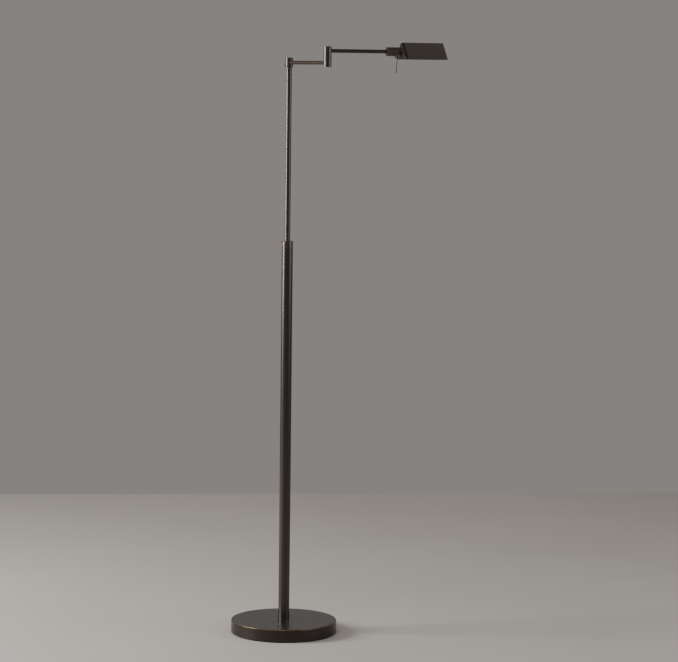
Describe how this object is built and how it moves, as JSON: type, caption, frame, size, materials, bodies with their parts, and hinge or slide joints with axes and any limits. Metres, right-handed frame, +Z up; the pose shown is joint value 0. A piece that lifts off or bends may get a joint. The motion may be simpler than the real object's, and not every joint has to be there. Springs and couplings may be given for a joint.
{
  "type": "pharmacy floor lamp",
  "caption": "Floor lamp with a round weighted base, telescoping pole, two-part swing arm and a small tent-shaped metal shade that turns on its arm.",
  "frame": {"origin": "on the floor at the middle of the round base, on the pole axis", "axes": "+Z up along the pole, +X along the upper arm from the elbow towards the shade at rest, +Y across it, away from the side the lower arm swings to"},
  "size_m": [0.4356, 0.297, 1.3461],
  "materials": {
    "bronze": "satin dark bronze lacquer on steel",
    "iron": "as cast, black dipped",
    "board": "pressed fibreboard",
    "felt": "black needle felt",
    "steel": "zinc plated",
    "black_steel": "black oxide",
    "brass": "turned",
    "nylon": "black nylon",
    "rubber": "moulded",
    "phenolic": "moulded phenolic",
    "ceramic": "unglazed steatite",
    "lamp_glass": "clear quartz",
    "tungsten": "drawn wire",
    "white_enamel": "gloss white enamel"
  },
  "bodies": {
    "stand": {"base_cover": "bronze", "base_weight": "iron", "base_board": "board", "base_pad": "felt", "base_washer": "steel", "base_nut": "steel", "base_nipple": "steel", "cord_grommet": "rubber", "lower_tube": "bronze", "tube_foot": "steel", "top_collar": "bronze", "friction_bush": "nylon"},
    "mast": {"inner_tube": "bronze", "guide_plug": "nylon", "hub_spigot": "brass", "hub_washer": "nylon"},
    "lower_arm": {"hub": "bronze", "hub_cap": "bronze", "hub_set_screw": "black_steel", "lower_arm_tube": "bronze", "elbow_lower": "bronze", "elbow_stud": "brass", "elbow_washer": "nylon", "elbow_wave_washer": "steel", "elbow_clip": "steel"},
    "upper_arm": {"elbow_upper": "bronze", "elbow_cap": "bronze", "upper_arm_tube": "bronze", "head_collar": "bronze", "head_pivot": "brass", "head_washer": "nylon"},
    "head": {"socket_housing": "bronze", "head_set_screw": "black_steel", "shade_ring_nut": "steel", "switch_body": "phenolic", "switch_terminals": "brass", "lever_pin": "steel", "lamp_holder": "ceramic", "holder_contacts": "brass", "holder_screw": "black_steel", "lamp_glass": "lamp_glass", "lamp_pins": "steel", "lamp_filament": "tungsten", "shade_shell": "bronze", "shade_end_inner": "bronze", "shade_end_outer": "bronze", "reflector": "white_enamel"},
    "lever": {"switch_lever": "bronze"}
  },
  "joints": [
    {"name": "mast_slide", "type": "slide", "parent": "stand", "child": "mast", "axis": [0, 0, 1], "range_m": [-0.38, 0]},
    {"name": "hub_swing", "type": "hinge", "parent": "mast", "child": "lower_arm", "pos_m": [0, 0, 1.3], "axis": [0, 0, 1], "range_deg": [-170, 170]},
    {"name": "elbow_swing", "type": "hinge", "parent": "lower_arm", "child": "upper_arm", "pos_m": [0.04668, -0.13791, 1.313], "axis": [0, 0, 1], "range_deg": [-175, 105]},
    {"name": "head_turn", "type": "hinge", "parent": "upper_arm", "child": "head", "pos_m": [0.19798, -0.13791, 1.3255], "axis": [1, 0, 0], "range_deg": [-90, 90]},
    {"name": "lever_tilt", "type": "hinge", "parent": "head", "child": "lever", "pos_m": [0.20888, -0.13791, 1.3219], "axis": [0, 1, 0], "range_deg": [-10, 10]}
  ]
}
